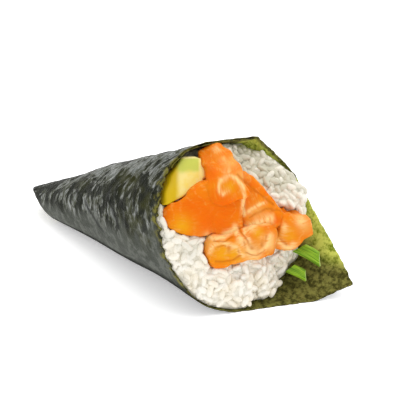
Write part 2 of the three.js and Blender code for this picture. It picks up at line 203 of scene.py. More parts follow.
def loft_faces(rings, sides, looped=False):
    """Quads between rings of points. Unless they are looped, each end has a fan round a hub after them."""
    count = rings * sides
    faces = []
    for ring in range(rings if looped else rings - 1):
        for i in range(sides):
            a = ring * sides + i
            b = ring * sides + (i + 1) % sides
            faces.append((a, b, (b + sides) % count, (a + sides) % count))
    if not looped:
        last = count - sides
        for i in range(sides):
            following = (i + 1) % sides
            faces.append((following, i, count))
            faces.append((last + i, last + following, count + 1))
    return faces


def with_hubs(rings):
    """The rings' points in one list, then the middles of the first and of the last ring."""
    return np.concatenate([rings.reshape(-1, rings.shape[-1]), [rings[0].mean(0)], [rings[-1].mean(0)]])


def new_object(name, data):
    item = bpy.data.objects.new(name, data)
    bpy.context.scene.collection.objects.link(item)
    return item


def make_piece(name, points, faces, material, replaced, marks):
    """A smooth piece that stands for a node of the part. It gives back a tree of its faces."""
    mesh = bpy.data.meshes.new(name)
    shifted = (points - [REST_REACH, 0, 0]) * MM
    mesh.from_pydata(shifted.tolist(), [], faces)
    for key, values in marks.items():
        values = np.asarray(values, np.float32)
        kind, field = ("FLOAT_VECTOR", "vector") if values.ndim == 2 else ("FLOAT", "value")
        mesh.attributes.new(key, kind, "POINT").data.foreach_set(field, values.ravel())
    mesh.shade_smooth()
    mesh.materials.append(material)
    piece = new_object(name, mesh)
    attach(piece, "root")
    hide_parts(replaced)
    return BVHTree.FromPolygons(points.tolist(), faces)


def vertex_normals(points, faces):
    """Area-weighted normals of a mesh of quads and triangles."""
    normals = np.zeros_like(points)
    for count in (3, 4):
        chosen = np.array([face for face in faces if len(face) == count], int)
        if len(chosen):
            first = points[chosen[:, 2]] - points[chosen[:, 0]]
            last = points[chosen[:, -1]] - points[chosen[:, 1]]
            flat = np.cross(first, last)
            for corner in range(count):
                np.add.at(normals, chosen[:, corner], flat)
    return unit(normals + 1e-12)


# ---- Curves and marks ----


def lengths_along(path):
    """How far along a path each of its points lies."""
    return np.concatenate([[0], np.cumsum(np.linalg.norm(np.diff(path, axis=0), axis=1))])


def resampled(at, gone, values):
    return np.stack([np.interp(at, gone, column) for column in values.T], 1)


def along_curve(places, shares):
    """Points and directions at shares of a smooth curve through the places, and the curve's length."""
    places = np.array(places, float)
    ends = np.concatenate([[2 * places[0] - places[1]], places, [2 * places[-1] - places[-2]]])
    fine = []
    for i in range(len(places) - 1):
        p0, p1, p2, p3 = ends[i : i + 4]
        for t in np.linspace(0, 1, 40, endpoint=i == len(places) - 2):
            fine.append(
                0.5 * (2 * p1 + (p2 - p0) * t + (2 * p0 - 5 * p1 + 4 * p2 - p3) * t**2
                       + (3 * p1 - p0 - 3 * p2 + p3) * t**3)
            )
    fine = np.array(fine)
    gone = lengths_along(fine)
    at = shares * gone[-1]
    slope = np.gradient(fine, gone, axis=0)
    return resampled(at, gone, fine), unit(resampled(at, gone, slope)), gone[-1]


def across_curve(tangent, face_up):
    """The directions across and into a piece along its curve. face_up is about the way it faces."""
    side = unit(np.array(face_up) - (tangent @ face_up)[:, None] * tangent)
    return side, np.cross(tangent, side)


def line_strength(across, lines, uneven):
    """1 on a line and 0 beside it, for lines of given widths that are uneven along them."""
    strength = np.zeros(len(across))
    for width, places in lines:
        path, _, _ = along_curve([(x, y, 0) for x, y in places], np.linspace(0, 1, 40))
        nearest = np.linalg.norm(across[:, None] - path[None, :, :2], axis=-1).min(1)
        strength = np.maximum(strength, np.exp(-((1.4 * nearest / (width * uneven)) ** 2)))
    return strength


def spot_strength(across, spots):
    """1 at the middle of each spot and 0 away from it."""
    strength = np.zeros(len(across))
    for x, y, radius in spots:
        away = np.linalg.norm(across - [x, y], axis=-1)
        strength = np.maximum(strength, np.exp(-((away / radius) ** 2)))
    return strength


# ---- Materials ----


def new_material(name):
    material = bpy.data.materials.new(name)
    material.use_nodes = True
    return material, material.node_tree, material.node_tree.nodes["Principled BSDF"]


def plug(tree, value, socket):
    """Feeds a socket a value or another node's output."""
    if isinstance(value, bpy.types.NodeSocket):
        tree.links.new(value, socket)
    else:
        socket.default_value = (*value, 1) if socket.type == "RGBA" else value


def set_inputs(tree, node, **inputs):
    for key, value in inputs.items():
        plug(tree, value, node.inputs[key.replace("_", " ")])


def add_node(tree, kind, settings=None, **inputs):
    node = tree.nodes.new("ShaderNode" + kind)
    for key, value in (settings or {}).items():
        setattr(node, key, value)
    set_inputs(tree, node, **inputs)
    return node


def scaled(tree, vector, factor):
    node = add_node(tree, "VectorMath", {"operation": "SCALE"}, Vector=vector, Scale=factor)
    return node.outputs["Vector"]


def millimetres(tree):
    return scaled(tree, add_node(tree, "TexCoord").outputs["Object"], 1 / MM)


def mark(tree, name, output="Fac"):
    return add_node(tree, "Attribute", {"attribute_name": name}).outputs[output]


def texture(tree, place, size, detail=3.0, roughness=0.5, distortion=0.0):
    """Noise from 0 to 1 with bumps of about that size."""
    return add_node(
        tree, "TexNoise", Vector=place, Scale=1 / size, Detail=detail, Roughness=roughness,
        Distortion=distortion,
    ).outputs["Fac"]


def stretched(tree, place, scale, rotation=(0, 0, 0), location=(0, 0, 0)):
    """The place turned, scaled and moved, to stretch a texture of size 1."""
    place = add_node(tree, "Mapping", Vector=place, Rotation=rotation).outputs[0]
    return add_node(tree, "Mapping", Vector=place, Scale=scale, Location=location).outputs[0]


def calc(tree, operation, a, b=0.0, c=0.0, clamp=False):
    node = add_node(tree, "Math", {"operation": operation, "use_clamp": clamp})
    for value, socket in zip((a, b, c), node.inputs):
        plug(tree, value, socket)
    return node.outputs[0]


def spread(tree, value, low, high):
    """0 below low, 1 above high, and smooth between them."""
    smooth = {"interpolation_type": "SMOOTHSTEP"}
    return add_node(tree, "MapRange", smooth, Value=value, From_Min=low, From_Max=high).outputs[0]


def blend(tree, share, a, b, kind="RGBA", sockets=(0, 6, 7), result=2):
    """Colour a where the share is 0 and colour b where it is 1."""
    node = add_node(tree, "Mix", {"data_type": kind})
    for value, socket in zip((share, a, b), sockets):
        plug(tree, value, node.inputs[socket])
    return node.outputs[result]


def mix_values(tree, share, a, b):
    return blend(tree, share, a, b, "FLOAT", (0, 2, 3), 0)


def marked(tree, colour, paints):
    """The colour, painted over where each named attribute says so."""
    for name, paint in paints.items():
        colour = blend(tree, mark(tree, name), colour, paint)
    return colour


def finish(tree, shader, colour, roughness, specular, relief, depth):
    """What every material has. The relief runs from about 0 to 1, and its depth is in millimetres."""
    bump = add_node(tree, "Bump", Height=relief, Distance=depth * MM).outputs[0]
    set_inputs(tree, shader, Base_Color=colour, Roughness=roughness, Normal=bump)
    set_inputs(tree, shader, Specular_IOR_Level=specular)


def soften(tree, shader, weight, reach, colour):
    """Light that reaches in by that many millimetres, furthest in the given colour."""
    set_inputs(tree, shader, Subsurface_Weight=weight, Subsurface_Radius=colour)
    set_inputs(tree, shader, Subsurface_Scale=reach * MM)


def nori_material():
    """Dark crinkled sheet, smooth with a painted grey sheen where it is pulled tight, olive with a painted
    glow where light comes through.
    """
    material, tree, shader = new_material("nori")
    place = millimetres(tree)
    crinkled = mark(tree, "crinkled")
    # The place on the sheet laid flat, shifted a little this way and that.
    swirl = add_node(tree, "TexNoise", Vector=place, Scale=1 / 14, Detail=1.0).outputs["Color"]
    sum_node = add_node(tree, "VectorMath", {"operation": "ADD"})
    plug(tree, mark(tree, "sheet", "Vector"), sum_node.inputs[0])
    plug(tree, scaled(tree, swirl, 5.0), sum_node.inputs[1])
    sheet = sum_node.outputs["Vector"]
    specks = texture(tree, place, 1.1, 5, 0.7)
    patches = texture(tree, stretched(tree, sheet, (0.17, 0.10, 1)), 1, 3)
    streaks = texture(tree, stretched(tree, sheet, (0.42, 0.15, 1)), 1, 4, 0.6, 0.3)
    strands = texture(tree, stretched(tree, sheet, (1.4, 0.26, 1), location=(5, 2, 0)), 1, 4, 0.6, 0.3)
    crossing = texture(tree, stretched(tree, sheet, (1.2, 0.3, 1), (0, 0, 0.6), (3, 8, 0)), 1, 4, 0.6, 0.3)
    strands = calc(tree, "MAXIMUM", strands, calc(tree, "SUBTRACT", crossing, 0.02))
    shade = mix_values(tree, 0.5, streaks, patches)
    # The dark mark deepens the dark patches with painted shade, and where it is below 0 it lightens them as
    # painted highlights.
    shade = calc(tree, "MULTIPLY_ADD", mark(tree, "dark"), -0.065, shade)
    dark = spread(tree, shade, 0.52, 0.47)
    pale_and_sheen = calc(tree, "MULTIPLY", spread(tree, strands, 0.52, 0.62), spread(tree, shade, 0.46, 0.52))
    # Its rough side, where it is crinkled: dark patches, partly the sheet's own thin spots and partly painted
    # shade of its crinkles, and grey patches and pale strands, partly fibres and partly a painted sheen on
    # the crinkles.
    rough_side = blend(tree, dark, (0.054, 0.058, 0.034), (0.005, 0.007, 0.001))
    rough_side = blend(tree, spread(tree, shade, 0.53, 0.60), rough_side, (0.13, 0.14, 0.125))
    rough_side = blend(tree, pale_and_sheen, rough_side, (0.31, 0.32, 0.305))
    # Where it is pulled tight: lighter grey, a painted sheen for the bright floor that this lower side
    # reflects.
    mottled = spread(tree, mix_values(tree, 0.5, specks, texture(tree, place, 3.5, 3)), 0.44, 0.56)
    smooth_side_sheen = blend(tree, mottled, (0.044, 0.049, 0.037), (0.100, 0.107, 0.089))
    smooth_side_sheen = blend(tree, calc(tree, "MULTIPLY", dark, 0.6), smooth_side_sheen, (0.026, 0.030, 0.020))
    outside = blend(tree, crinkled, smooth_side_sheen, rough_side)
    # Gold flecks in a band along the rim, painted light on the thin, lit edge.
    coarse = spread(tree, mix_values(tree, 0.6, specks, texture(tree, place, 2.4, 3)), 0.44, 0.54)
    flecks = blend(tree, coarse, (0.013, 0.014, 0.002), (0.16, 0.145, 0.018))
    outside = marked(tree, outside, {
        "olive": (0.034, 0.036, 0.004), "dark_line": (0.002, 0.003, 0.001), "rim": flecks,
        "painted_contact_shade": (0.006, 0.006, 0.005),
    })
    # Its inner face, olive, with a painted glow where it is one layer with the light behind it.
    mottle = mix_values(tree, 0.5, texture(tree, place, 2.6, 4, 0.6), specks)
    olive = blend(tree, spread(tree, mottle, 0.40, 0.60), (0.040, 0.037, 0.006), (0.20, 0.19, 0.045))
    lit = blend(tree, spread(tree, mottle, 0.37, 0.57), (0.17, 0.23, 0.008), (0.65, 0.70, 0.13))
    colour = marked(tree, outside, {"inside": marked(tree, olive, {"thin": lit})})
    rough = calc(tree, "MULTIPLY_ADD", specks, 0.3, 0.3)
    # Rougher within the painted contact shadow too, to dull its reflections there.
    rough = calc(tree, "ADD", rough, mark(tree, "painted_contact_shade"), clamp=True)
    relief = calc(tree, "MULTIPLY_ADD", strands, 0.5, shade)
    relief = calc(tree, "MULTIPLY", relief, calc(tree, "ADD", crinkled, 0.15))
    relief = calc(tree, "MULTIPLY_ADD", specks, 0.12, relief)
    finish(tree, shader, colour, rough, 0.10, relief, 1.5)
    return material


def rice_material():
    """White grains in faint warm clouds, greyer where their tint is low: painted shade on the heap's far,
    high side, by the near rim and between the grains, with a random tone from grain to grain.
    """
    material, tree, shader = new_material("rice")
    place = millimetres(tree)
    tint_and_shade = mark(tree, "tint_and_shade")
    white = blend(tree, tint_and_shade, (0.49, 0.46, 0.34), (0.85, 0.82, 0.74))
    warm = calc(tree, "MULTIPLY", spread(tree, texture(tree, place, 5, 3), 0.35, 0.65), tint_and_shade)
    colour = blend(tree, warm, white, (0.82, 0.76, 0.63))
    finish(tree, shader, colour, 0.45, 0.35, texture(tree, place, 1.3, 4), 0.5)
    return material


def salmon_material():
    """Orange flesh, redder where it is lean, amber where it is thin, with lines of fat, darker folds and
    painted shade where slices meet the rice and under the nori, and pale patches that are partly a painted
    sheen.
    """
    material, tree, shader = new_material("salmon")
    place = millimetres(tree)
    along = mark(tree, "flesh", "Vector")
    split = add_node(tree, "SeparateXYZ", Vector=along).outputs
    wobble = texture(tree, place, 5, 3)
    grain = texture(tree, stretched(tree, along, (0.35, 1.3, 1.3)), 1, 4, 0.6)
    flesh = blend(tree, spread(tree, wobble, 0.3, 0.7), (0.74, 0.155, 0.001), (0.76, 0.215, 0.004))
    # The pale mark is partly paler flesh and partly a painted sheen.
    flesh = marked(tree, flesh, {
        "lean": (0.76, 0.138, 0.001), "pale_and_sheen": (0.76, 0.32, 0.065), "amber": (0.75, 0.32, 0.006),
    })
    # Its layers, thin lines that bend to a V across the slice.
    bent = calc(tree, "MULTIPLY_ADD", calc(tree, "ABSOLUTE", split["Y"]), 0.45, split["X"])
    bent = calc(tree, "MULTIPLY_ADD", wobble, 9.0, bent)
    beat = calc(tree, "PINGPONG", bent, 2.1)
    fatty = calc(tree, "SUBTRACT", 1.0, mark(tree, "lean"))
    layers = calc(tree, "MULTIPLY", spread(tree, grain, 0.4, 0.6), spread(tree, beat, 0.9, 0.0))
    layers = calc(tree, "MULTIPLY", calc(tree, "MULTIPLY", layers, 0.45), fatty)
    colour = blend(tree, layers, flesh, (0.79, 0.40, 0.10))
    pale_grain = calc(tree, "MULTIPLY", spread(tree, grain, 0.54, 0.75), fatty)
    colour = blend(tree, pale_grain, colour, (0.77, 0.30, 0.03))
    fat = calc(tree, "MULTIPLY", mark(tree, "fat"), spread(tree, grain, 0.25, 0.55))
    colour = blend(tree, fat, colour, (0.87, 0.56, 0.23))
    colour = blend(tree, calc(tree, "MULTIPLY", mark(tree, "fold_and_shade"), 0.7), colour, (0.52, 0.12, 0.003))
    finish(tree, shader, colour, calc(tree, "MULTIPLY_ADD", grain, 0.3, 0.3), 0.06, grain, 0.3)
    soften(tree, shader, 0.25, 2.0, (1.0, 0.3, 0.08))
    return material


def avocado_material():
    """Yellow flesh, green below its top, darker gold on the left, partly painted shade of its shadowed side,
    and paler on the right and on top.
    """
    material, tree, shader = new_material("avocado")
    flesh = mark(tree, "flesh", "Vector")
    split = add_node(tree, "SeparateXYZ", Vector=flesh).outputs
    wobble = texture(tree, flesh, 4, 2)
    height = calc(tree, "MULTIPLY_ADD", wobble, 2.5, split["Y"])
    colour = blend(tree, spread(tree, wobble, 0.35, 0.65), (0.78, 0.61, 0.13), (0.79, 0.66, 0.24))
    for along, low, high, paint in (
        (height, 15.6, 17.4, (0.53, 0.55, 0.09)),
        (split["X"], -11.4, -10.2, (0.90, 0.75, 0.27)),
        # Darker gold towards the left, partly painted shade of the shadowed left face.
        (split["X"], -17.2, -19.5, (0.58, 0.39, 0.003)),
        (split["Y"], 19.6, 20.1, (0.80, 0.68, 0.28)),
    ):
        colour = blend(tree, spread(tree, along, low, high), colour, paint)
    finish(tree, shader, colour, 0.42, 0.15, texture(tree, flesh, 1.5, 3), 0.12)
    soften(tree, shader, 0.3, 2.0, (1.0, 0.8, 0.2))
    return material


def onion_material():
    """A green leaf with long veins, paler inside."""
    material, tree, shader = new_material("spring_onion")
    flesh = mark(tree, "flesh", "Vector")
    veins = texture(tree, stretched(tree, flesh, (0.12, 2.2, 2.2)), 1, 3)
    green = blend(tree, spread(tree, veins, 0.35, 0.65), (0.075, 0.21, 0.005), (0.33, 0.55, 0.03))
    finish(tree, shader, marked(tree, green, {"inside": (0.60, 0.74, 0.24)}), 0.35, 0.2, veins, 0.15)
    soften(tree, shader, 0.2, 1.0, (0.5, 1.0, 0.2))
    return material


# ---- Nori ----

CREASES_SLANT = 14
TIGHT_UP_TO = 96  # degrees from underneath
TIGHT_UNEVEN = 18  # how ragged that border is
RIM_TORN = 2.5  # how much more ragged the rim is where it is torn
RIM_BAND = 1.9  # width of the flecked band along it
RIM_BAND_THIN = 1.5  # how much narrower that is at the top
DARK_LINE_STRENGTH = 0.9
OLIVE_STRENGTH = 0.8
FLAP_PAINTED_GLOW = 0.85

# Places as turn, reach and how far they spread both ways: painted shade, painted highlights, olive patches
# and bulges. Dark lines lie on the flat sheet, after their width.
PAINTED_SHADE_PLACES = [
    (-130, 90, 18, 14), (-142, 55, 12, 7), (-150, 30, 30, 12), (-128, 79, 16, 5), (-122, 105, 16, 6),
]
PAINTED_HIGHLIGHT_PLACES = [(-170, 94, 24, 20), (-150, 102, 14, 9), (-120, 68, 9, 8), (-165, 68, 12, 12)]
OLIVE_PLACES = [(-142, 86, 14, 11), (-122, 103, 18, 9), (-145, 52, 10, 8), (-106, 102, 18, 12)]
BULGES = [(-188, 60, 30, 11)]
# Thin dark lines across the sheet.
DARK_LINES = [
    (1.1, [(61.5, -31.6), (67, -28.9), (72.5, -26.5)]),
    (1.7, [(76.5, -45.5), (78, -42), (82, -39), (85, -35.5)]),
    (1.1, [(88, -46), (89.5, -42.5), (92.5, -40)]),
    (1.1, [(95, -54), (96, -50), (99, -47)]),
    (1.2, [(49, -33.5), (52, -31.5), (55, -31)]),
]


def sheet_place(turn, reach):
    """Where a point lies on the sheet laid flat: out from the apex, and round. Out is counted along the
    creases, which slant towards the mouth near the top."""
    slant = CREASES_SLANT * smoothstep(-turn, 120, 190)
    around = np.radians(turn) * math.sin(math.radians(HALF_ANGLE)) * reach
    return np.stack([reach - slant, around, np.zeros_like(around)], -1)


def crinkles(turn, reach):
    """1 on the upper part of the cone, 0 below, where the sheet is pulled tight."""
    border = TIGHT_UP_TO + TIGHT_UNEVEN * noise_at(sheet_place(turn, reach) * [1, 0.25, 1], 5, 6)
    return smoothstep(turns_apart(turn, 0), border - 12, border + 14)


def place_strength(turn, reach, places):
    """1 at the middle of each place and 0 away from it."""
    strength = 0
    for at, out, spread_turn, spread_reach in places:
        away = (turns_apart(turn, at) / spread_turn) ** 2 + ((reach - out) / spread_reach) ** 2
        strength = np.maximum(strength, np.exp(-away))
    return strength


def wrinkles(points, turn, reach):
    """Small creases, sharper towards the mouth and on the upper side, with none on the resting strip."""
    off_strip = smoothstep(turns_apart(turn, 0), FLAT_TURN + 6, 75)
    towards_mouth = 0.35 + 0.65 * smoothstep(reach, 40, 90)
    folds = 1 - np.abs(noise_at(sheet_place(turn, reach) * [1, 0.3, 1], 4.5, 1)) * 2.4
    small = noise_at(points, 3.2, 2)
    return off_strip * towards_mouth * (0.12 + 0.88 * crinkles(turn, reach)) * (0.5 * folds + 0.25 * small)


def torn_rim_reach(turns):
    """The rim's reach, uneven all round and torn on the near side."""
    edge = rim_reach(turns)
    places = outer_point(turns, edge)
    torn = 1 + RIM_TORN * smoothstep(-turns, 55, 75) * smoothstep(-turns, 165, 145)
    return edge + torn * (0.6 * noise_at(places, 3.5, 3) + 0.5 * noise_at(places, 1.4, 4))


def sheet_faces(columns):
    """The sheet's two faces, split alike, and the narrow edge between them."""
    count = columns * NORI_ROWS
    faces = []
    for column in range(columns - 1):
        for row in range(NORI_ROWS - 1):
            a = column * NORI_ROWS + row
            b = a + NORI_ROWS
            faces.append((a, b, b + 1, a + 1))
            faces.append((a + count, a + 1 + count, b + 1 + count, b + count))
    grid = np.arange(count).reshape(columns, NORI_ROWS)
    border = np.concatenate([grid[:, 0], grid[-1, 1:], grid[-2::-1, -1], grid[0, -2:0:-1]]).tolist()
    for a, b in zip(border, border[1:] + border[:1]):
        faces.append((b, a, a + count, b + count))
    return faces


def sheet_marks(turn, reach, from_edge, base):
    """What the nori's material reads at each point, as named strengths."""
    flap = smoothstep(turn, 40, 52) * (1 - smoothstep(turn, 100, 128)) * (1 - smoothstep(from_edge, 5, 14))
    # Painted light on the far wall's inner face.
    wall = smoothstep(turn, 102, 112) * (1 - smoothstep(turn, 132, 142))
    # Where a painted glow brightens the inner face: light through the loose flap and light on the far wall.
    thin = np.maximum(FLAP_PAINTED_GLOW * flap, wall)
    thin = np.where(turn > 96, thin * smoothstep(from_edge, 0.7, 1.6), thin)
    by_mouth_top = smoothstep(-turn, 145, 160) * smoothstep(-turn, 205, 190)
    band = RIM_BAND - RIM_BAND_THIN * by_mouth_top
    band = band + 2.6 * noise_at(base, 3.2, 7) + 1.2 * noise_at(base, 1.2, 8)
    uneven = 1 + 0.8 * noise_at(base, 4, 9)
    on_sheet = sheet_place(turn, reach)[..., :2].reshape(-1, 2)
    return {
        "thin": thin,
        "rim": 1 - smoothstep(from_edge, band - 1, band + 1),
        "crinkled": crinkles(turn, reach),
        # A painted contact shadow along the underside, where the cone rests on the floor.
        "painted_contact_shade": 1 - smoothstep(turns_apart(turn, 0), 47, 62),
        # painted shade, less painted highlights
        "dark": place_strength(turn, reach, PAINTED_SHADE_PLACES) - place_strength(turn, reach, PAINTED_HIGHLIGHT_PLACES),
        "olive": OLIVE_STRENGTH * place_strength(turn, reach, OLIVE_PLACES) * smoothstep(uneven, 0.7, 1.2),
        "dark_line": DARK_LINE_STRENGTH * line_strength(on_sheet, DARK_LINES, uneven.ravel()),
    }


def build_nori():
    """The sheet in columns, from its outer end to its inner end, each from the tip to the rim."""
    turns = np.arange(OUTER_END, INNER_END + NORI_STEP / 2, NORI_STEP)
    turn = np.repeat(turns[:, None], NORI_ROWS, 1)
    edge = torn_rim_reach(turns)
    tip = tip_reach(turns) + 0.25 * noise_at(outer_point(turns, TIP_REACH), 1.2, 5)
    reach = tip[:, None] + (edge - tip)[:, None] * np.linspace(0, 1, NORI_ROWS)
    base = outer_point(turn, reach)
    relief = wrinkles(base, turn, reach) + place_strength(turn, reach, BULGES)
    depth = layer_depth(turn) - relief
    outer = cone_point(turn, reach, depth)
    inner = cone_point(turn, reach, depth + NORI_THICKNESS)
    points = np.concatenate([outer.reshape(-1, 3), inner.reshape(-1, 3)])
    faces = sheet_faces(len(turns))
    marks = sheet_marks(turn, reach, edge[:, None] - reach, base)
    marks = {key: np.tile(values.ravel(), 2) for key, values in marks.items()}
    marks["inside"] = np.repeat([0.0, 1.0], turn.size)
    marks["sheet"] = np.tile(sheet_place(turn, reach).reshape(-1, 3), (2, 1))
    return make_piece("nori_sheet", points, faces, nori_material(), "nori", marks)


# ---- Toppings ----

MOUTH_AXES = np.array(
    Matrix.Rotation(math.radians(MOUTH_TURN), 3, "Z") @ Matrix.Rotation(math.radians(MOUTH_TILT), 3, "X")
)


def from_mouth(points):
    return points @ MOUTH_AXES.T + MOUTH_CENTRE


# The slices are cut a little sharper than the solids, and they are larger, so that they meet.
SHARPER_CUT = 2  # added to their squareness
SHARPER_ENDS = 0.8  # times their roundness
SLICES_MEET = 1.2  # added to their widths and thickness
SLICE_STATIONS = 150
SLICE_SIDES = 130


def slice_rings(spine, widths, thickness, face_up, squareness=3, roundness=0.18):
    """A bent slice's rings in the mouth's frame, and how far along, across and into it each point is."""
    squareness, roundness = squareness + SHARPER_CUT, roundness * SHARPER_ENDS
    widths, thickness = np.array(widths) + SLICES_MEET, thickness + SLICES_MEET
    shares = (1 - np.cos(np.pi * np.arange(SLICE_STATIONS + 1) / SLICE_STATIONS)) / 2
    centre, tangent, length = along_curve(spine, shares)
    side, normal = across_curve(tangent, face_up)
    from_end = np.clip(np.minimum(shares, 1 - shares) / roundness, 0.02, 1)
    taper = np.sqrt(1 - (1 - from_end) ** 2)
    half_width = np.interp(shares, np.linspace(0, 1, len(widths)), widths) / 2
    angles = 2 * np.pi * np.arange(SLICE_SIDES) / SLICE_SIDES
    x = np.sign(np.cos(angles)) * np.abs(np.cos(angles)) ** (2 / squareness)
    y = np.sign(np.sin(angles)) * np.abs(np.sin(angles)) ** (2 / squareness)
    across = x[None, :] * (half_width * taper)[:, None]
    deep = y[None, :] * (thickness / 2 * taper)[:, None]
    along = np.broadcast_to((shares * length)[:, None], across.shape)
    rings = centre[:, None] + side[:, None] * across[..., None] + normal[:, None] * deep[..., None]
    return rings, np.stack([along, across, deep], -1)


# The top strip and the block lie a little differently from the part's.
SALMON = {
    "salmon_block": dict(
        spine=[[15.2, -4.5, -2.5], [20.5, -5, -3.5], [27.5, -2.8, -5.5]],
        widths=[10, 13, 8, 5.5], thickness=10, face_up=[0.1, 1, 0.3], squareness=4, roundness=0.12,
    ),
    "salmon_broad": dict(
        spine=[[-23.8, 0.6, 10.5], [-15, 0.2, 10.5], [-6.5, 2.8, 8.5], [4.5, 1.5, 6]],
        widths=[5.5, 14, 20.5, 18], thickness=5, face_up=[0.1, 1, 0], squareness=3.5, roundness=0.12,
    ),
    "salmon_top": dict(
        spine=[[-7.6, 23.4, -3.5], [-3.6, 17, 4], [-1.8, 10.5, 9.4], [0.2, 4.2, 8.2]],
        widths=[8.5, 11, 12, 13], thickness=5, face_up=[1, 0, 0], squareness=3.5, roundness=0.12,
    ),
    "salmon_middle": dict(
        spine=[[-1, 12.5, -1.5], [5, 6.5, 1], [9.5, 0, 2], [13, -7, 1]],
        widths=[11, 15], thickness=6, face_up=[1, 0.7, -0.3],
    ),
    "salmon_low": dict(
        spine=[[-9.5, -12.5, 10.5], [-1, -11.5, 7.5], [8, -9, 4], [16, -8, 0]],
        widths=[10, 11], thickness=5.5, face_up=[0, 1, 0.2],
    ),
}

# Marks on the salmon, placed across and up in the mouth's frame. Lines start with their width.
FAT_LINES = [
    (1.2, [(-4.5, 23.2), (-3.5, 20.2), (-2, 17.7), (-1.5, 14.9)]),
    (0.85, [(-1.8, 13.4), (-3.8, 11.6), (-4.4, 9.4), (-2.8, 7.2), (0, 6.5)]),
    (1.0, [(0, 13.6), (2.7, 11.9), (4.5, 8.4), (4.2, 4.1), (4.6, 0.3)]),
    (1.0, [(6, 1.1), (8.8, 2.8), (11.8, 4.1)]),
    (2.0, [(5.7, -4.7), (9.3, -2.9), (14, -1.2)]),
    (1.5, [(1.2, -4.5), (2.5, -7.5), (4.5, -10.2), (7.3, -12.6), (10.5, -12.7), (12.9, -10.2), (13.4, -7.5)]),
    (1.0, [(5.2, -3.9), (4.7, -6.5), (6.5, -9), (9.3, -9.5), (10.5, -8.2)]),
    (1.4, [(-8, -7), (-4.8, -8.1), (-1.3, -6.5), (1.2, -4.7)]),
    (1.2, [(-7.6, -12.5), (-6.3, -10.1), (-2.8, -9.7), (1.2, -11), (4.2, -14)]),
    (1.4, [(17.3, -9.7), (20.3, -11.7), (22.3, -10.5)]),
]
# Darker lines: folds in the flesh, and painted shade along edges where a slice meets the rice.
FOLD_AND_SHADE_LINES = [
    (0.6, [(2.2, 14.1), (5.2, 11.4), (7.8, 9.1), (11.3, 6.4), (15.3, 3.6)]),
    (0.6, [(7, 8.1), (8, 6.1), (7.3, 3.6)]),
    (0.5, [(6.5, -0.9), (9.3, 0.6), (12.3, 1.6), (14.5, 2.3)]),
    (0.5, [(2.5, -3.9), (4, -6.7), (5.7, -9), (7.3, -10.2)]),
    (0.45, [(4.2, -9.5), (6.2, -11.4), (9.3, -11.7), (11.8, -9.7), (12.3, -7.5)]),
    (0.4, [(5.2, -13.2), (8.3, -14.2), (11.8, -12.5)]),
    (0.4, [(-6.3, -8.7), (-2.8, -9.2), (0, -7.7)]),
    (0.4, [(-6, -11.2), (-2.8, -10.6), (0.7, -11.4), (3.2, -12.9)]),
    (0.5, [(-5.3, -16), (-1.3, -15.8), (3.2, -14)]),
    (0.6, [(17, -4.5), (17.3, -8), (19.6, -10.7)]),
    (0.6, [(14.3, 1.6), (20.3, 1), (25.3, 0.6)]),
]
# Spots: across, up and radius.
FAT_SPOTS = [(19, -4.5, 1.2), (25, -2.2, 1.8), (7.5, -13.6, 2.5), (13, -9.5, 2.2)]
# Paler flesh, partly a painted sheen.
PALE_AND_SHEEN_SPOTS = [
    (0.5, 18, 2.5), (3.5, 13.5, 2.5), (7, -13.5, 4.5), (13.5, -10, 3.5), (26, -4, 3), (9, 1, 3), (-8, -9, 3),
]
AMBER_SPOTS = [
    (-0.8, 9.9, 2.3), (9.3, -6, 1.9), (-2.8, -13, 4), (1, -13.5, 3.5), (20.8, -7, 2.7), (-17, -3.5, 3.5),
]
# Spots of painted shade, mostly where the nori shades the top strip.
SHADED_SPOTS = [(-7.6, 20.8, 3.5), (-7.5, 16.5, 2), (9, -12.5, 1.2)]
LEAN_SPOTS = [(-4, -2.4, 5), (-8, -1.5, 8), (-13, 1, 6), (16.3, -2.2, 2.4), (-7, 14, 3), (-2, 3, 6)]
SHADE_STRENGTH = 0.5
OUTLINE_UNEVEN = 0.9  # how far the slices' outlines stray
MARKS_UNEVEN = 0.45  # and the marks on them


def shake(points, size, seed):
    """Noise across and up at each point."""
    return np.stack([noise_at(points, size, seed), noise_at(points, size, seed + 1)], -1)


def build_slice(name, size, material):
    rings, flesh = slice_rings(**size)
    in_mouth = with_hubs(rings)
    in_mouth[:, :2] += OUTLINE_UNEVEN * shake(in_mouth, 4.5, 61)
    faces = loft_faces(*rings.shape[:2])
    seed = list(SALMON).index(name) + 10
    across = in_mouth[:, :2]
    shaken = across + MARKS_UNEVEN * shake(in_mouth, 2.5, seed + 2)
    uneven = 1 + 0.5 * noise_at(in_mouth, 3, seed + 4)
    fat, fold_and_shade = line_strength(shaken, FAT_LINES, uneven), line_strength(shaken, FOLD_AND_SHADE_LINES, uneven)
    points = from_mouth(in_mouth)
    relief = 0.4 * noise_at(points, 7, seed) + 0.25 * noise_at(points, 2.6, seed + 1)
    relief = relief + 0.08 * fat - 0.15 * fold_and_shade
    points = points + vertex_normals(points, faces) * relief[:, None]
    marks = {
        "flesh": with_hubs(flesh),
        "fat": np.maximum(fat, spot_strength(shaken, FAT_SPOTS)),
        "fold_and_shade": np.maximum(fold_and_shade, SHADE_STRENGTH * spot_strength(shaken, SHADED_SPOTS)),
        "pale_and_sheen": spot_strength(across, PALE_AND_SHEEN_SPOTS),
        "amber": spot_strength(across, AMBER_SPOTS),
        "lean": spot_strength(across, LEAN_SPOTS),
    }
    return make_piece(name + "_slice", points, faces, material, name, marks)


AVOCADO_FACE = [
    [-16.6, 20.7], [-12.2, 20.5], [-8, 19.2], [-8.2, 13.8], [-10.5, 10.6], [-16, 6.6], [-22.4, 3.4],
    [-22.8, 7.6], [-21, 12.8], [-18.8, 17],
]
AVOCADO_FRONT = 8.6
AVOCADO_DEPTH = 11
AVOCADO_LEAN = (0.25, 0.42)
AVOCADO_MIDDLE = np.array([-15.3, 12.6])
AVOCADO_SLANT = 2.4


